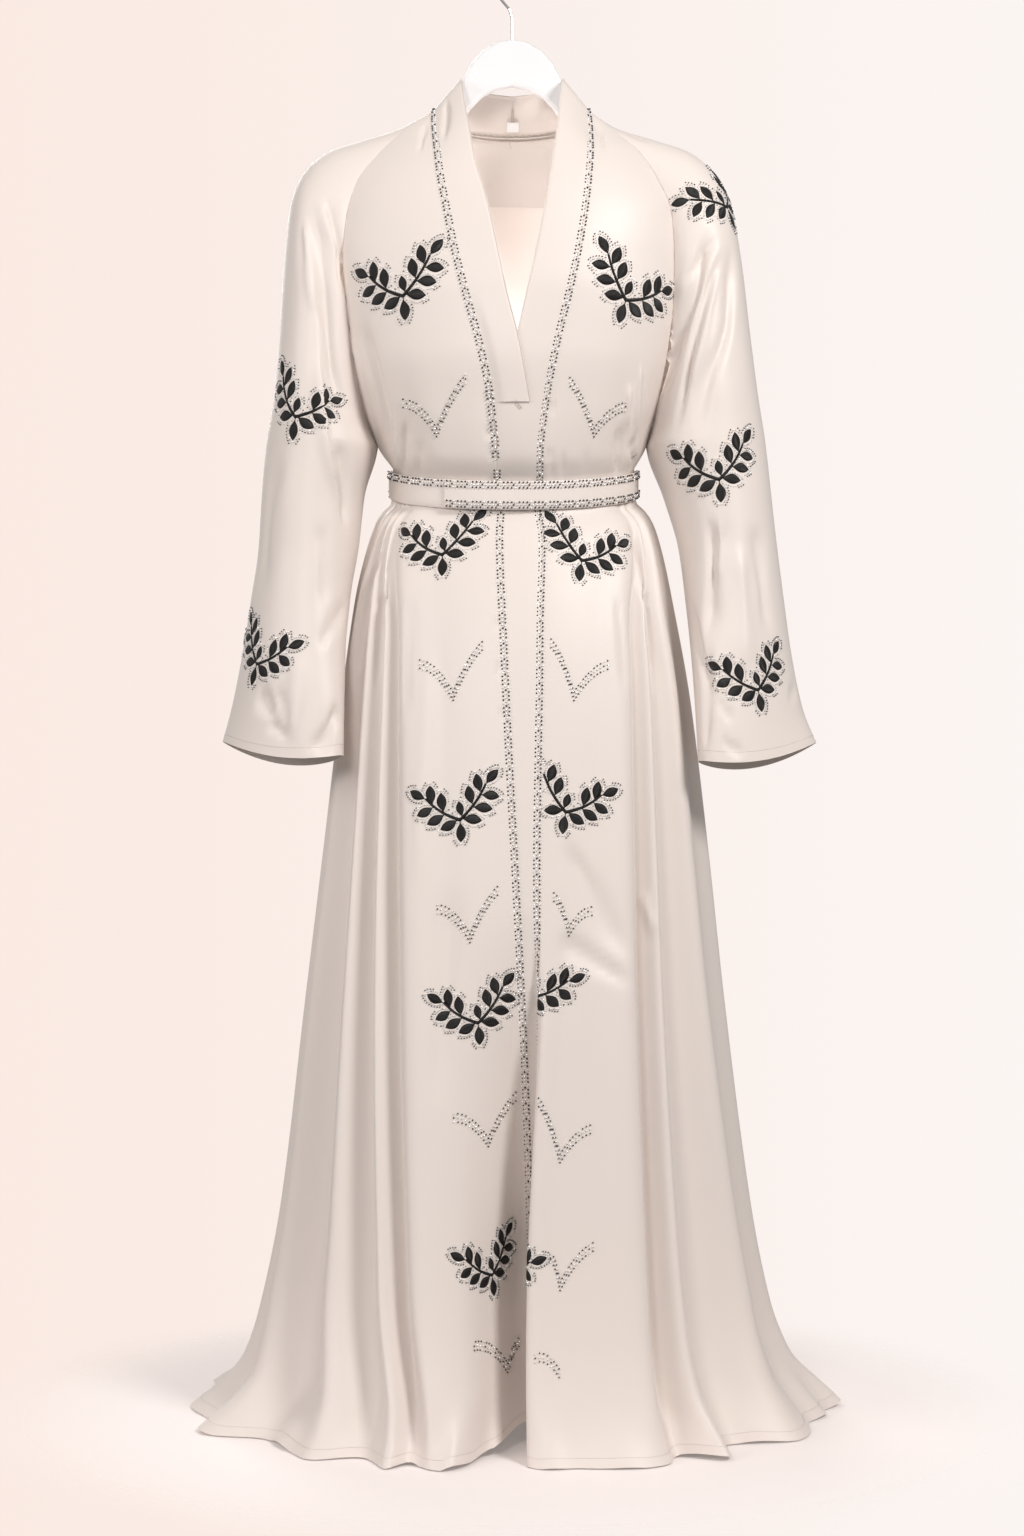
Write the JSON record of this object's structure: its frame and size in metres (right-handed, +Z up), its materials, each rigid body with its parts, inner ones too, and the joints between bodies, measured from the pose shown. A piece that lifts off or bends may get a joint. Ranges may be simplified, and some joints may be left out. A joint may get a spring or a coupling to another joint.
{
  "type": "abaya cloak on a hanger",
  "caption": "Full-length open-front abaya cloak in champagne satin with raglan sleeves, wide neck band, belt, black leaf sprays and bead trim, hanging empty on a white hanger.",
  "frame": {"origin": "underside of the hook's crest, where a rail carries the hanger", "axes": "+Z up, -Y towards the front of the cloak, +X to the viewer's right, which is the wearer's left"},
  "size_m": [0.6947, 0.5688, 1.5608],
  "materials": {
    "satin": "heavy satin crepe, soft sheen, champagne",
    "leaf_thread": "black satin-stitch thread and sequin leaves",
    "bead": "small silver-lined beads",
    "ribbon": "plain white woven ribbon, blank",
    "lacquer": "white, smooth, slightly glossy",
    "steel": "polished wire"
  },
  "bodies": {
    "root": {"front_right": "satin", "front_left": "satin", "back": "satin", "sleeve_right": "satin", "sleeve_left": "satin", "band_right": "satin", "band_left": "satin", "belt": "satin", "back_neck_facing": "satin", "label": "ribbon", "hanger": "lacquer", "hook": "steel"}
  },
  "joints": []
}
